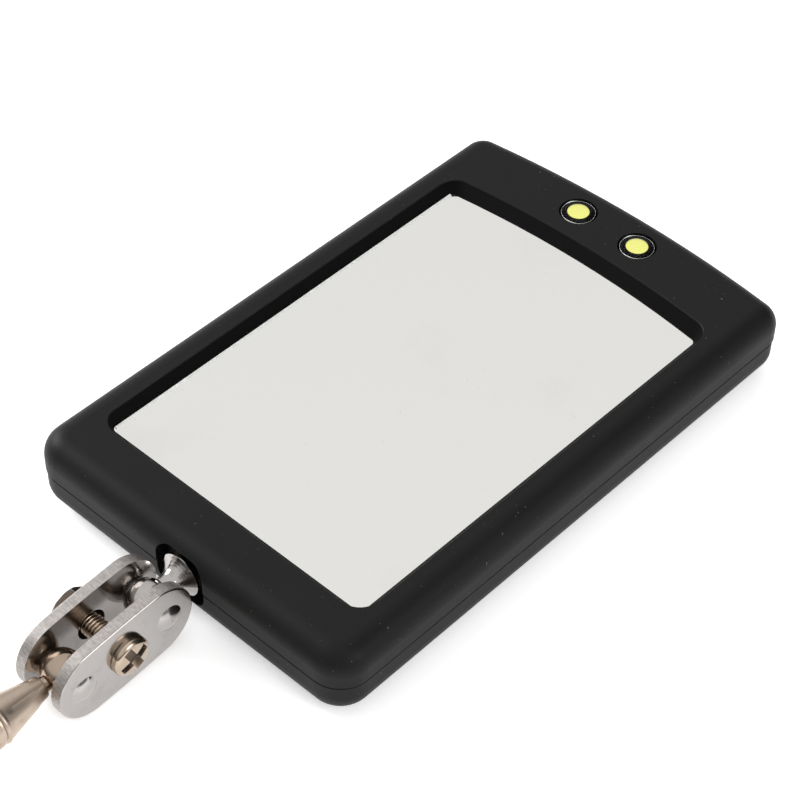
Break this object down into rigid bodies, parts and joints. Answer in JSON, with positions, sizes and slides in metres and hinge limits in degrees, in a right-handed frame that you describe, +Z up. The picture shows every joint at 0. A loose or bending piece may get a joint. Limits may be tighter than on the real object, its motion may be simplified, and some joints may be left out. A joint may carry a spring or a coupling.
{
  "type": "telescoping inspection mirror",
  "caption": "Flat lit mirror head on a clamped double ball joint, carried by a telescoping rod with a ribbed rubber grip.",
  "frame": {"origin": "on the bench under the middle of the collapsed tool's bounding box", "axes": "+Z up from the bench and out of the mirror's face, +Y along the rod from the grip to the lit end of the head, +X to the clamp screw's head"},
  "size_m": [0.054, 0.256, 0.0114],
  "materials": {
    "housing_black": "soft matte black",
    "mirror": "silvered glass",
    "foam": "closed-cell foam",
    "clear_lens": "clear epoxy",
    "phosphor": "yellow phosphor",
    "circuit_green": "solder mask",
    "resistor_body": "ceramic chip",
    "switch_metal": "tinned steel",
    "switch_black": "moulded",
    "cell_steel": "nickel-plated",
    "contact_nickel": "nickel-plated spring steel",
    "screw_black": "black oxide",
    "stud_chrome": "polished",
    "plate_chrome": "bright plated, stamped edges",
    "fastener_nickel": "warm nickel plate",
    "rod_nickel": "warm nickel plate",
    "sleeve_brass": "sprung brass",
    "grip_rubber": "ribbed"
  },
  "bodies": {
    "handle": {"tube_1": "rod_nickel", "grip_sleeve": "grip_rubber", "end_cap": "rod_nickel"},
    "section_2": {"tube_2": "rod_nickel", "friction_sleeve_2": "sleeve_brass"},
    "section_3": {"tube_3": "rod_nickel", "friction_sleeve_3": "sleeve_brass"},
    "section_4": {"tube_4": "rod_nickel", "friction_sleeve_4": "sleeve_brass"},
    "tip_section": {"tip_rod": "rod_nickel", "friction_sleeve_tip": "sleeve_brass", "tip_ferrule": "rod_nickel"},
    "rod_ball": {"rod_stud": "rod_nickel"},
    "link": {"clamp_plate_right": "plate_chrome", "clamp_plate_left": "plate_chrome", "clamp_nut": "fastener_nickel"},
    "clamp_bolt": {"clamp_screw": "fastener_nickel"},
    "head_ball": {"head_stud": "stud_chrome"},
    "head": {"front_bezel": "housing_black", "rear_cover": "housing_black", "mirror_glass": "mirror", "mirror_pad": "foam", "lamp_lens_left": "clear_lens", "lamp_lens_right": "clear_lens", "lamp_chip_left": "phosphor", "lamp_chip_right": "phosphor", "circuit_board": "circuit_green", "resistor": "resistor_body", "switch_case": "switch_metal", "cell_lower": "cell_steel", "cell_upper": "cell_steel", "contact_top": "contact_nickel", "contact_side": "contact_nickel", "case_screws": "screw_black"},
    "door": {"battery_door": "housing_black"},
    "switch": {"switch_slider": "switch_black"}
  },
  "joints": [
    {"name": "section_2_slide", "type": "slide", "parent": "handle", "child": "section_2", "axis": [0, 1, 0], "range_m": [0, 0.105]},
    {"name": "section_3_slide", "type": "slide", "parent": "section_2", "child": "section_3", "axis": [0, 1, 0], "range_m": [0, 0.1]},
    {"name": "section_4_slide", "type": "slide", "parent": "section_3", "child": "section_4", "axis": [0, 1, 0], "range_m": [0, 0.095]},
    {"name": "tip_slide", "type": "slide", "parent": "section_4", "child": "tip_section", "axis": [0, 1, 0], "range_m": [0, 0.09]},
    {"name": "rod_roll", "type": "hinge", "parent": "tip_section", "child": "rod_ball", "pos_m": [0, 0.02297, 0.00518], "axis": [0, 1, 0], "continuous": true},
    {"name": "rod_pitch", "type": "hinge", "parent": "rod_ball", "child": "link", "pos_m": [0, 0.02297, 0.00518], "axis": [1, 0, 0], "range_deg": [-70, 60]},
    {"name": "clamp_turn", "type": "hinge", "parent": "link", "child": "clamp_bolt", "pos_m": [0, 0.02965, 0.00577], "axis": [1, 0, 0], "range_deg": [-180, 180]},
    {"name": "head_pitch", "type": "hinge", "parent": "link", "child": "head_ball", "pos_m": [0, 0.03633, 0.00635], "axis": [1, 0, 0], "range_deg": [-50, 60]},
    {"name": "head_roll", "type": "hinge", "parent": "head_ball", "child": "head", "pos_m": [0, 0.03633, 0.00635], "axis": [0, 1, 0], "continuous": true},
    {"name": "door_slide", "type": "slide", "parent": "head", "child": "door", "axis": [0, 1, 0], "range_m": [0, 0.042]},
    {"name": "switch_slide", "type": "slide", "parent": "head", "child": "switch", "axis": [0, 1, 0], "range_m": [0, 0.003]}
  ]
}
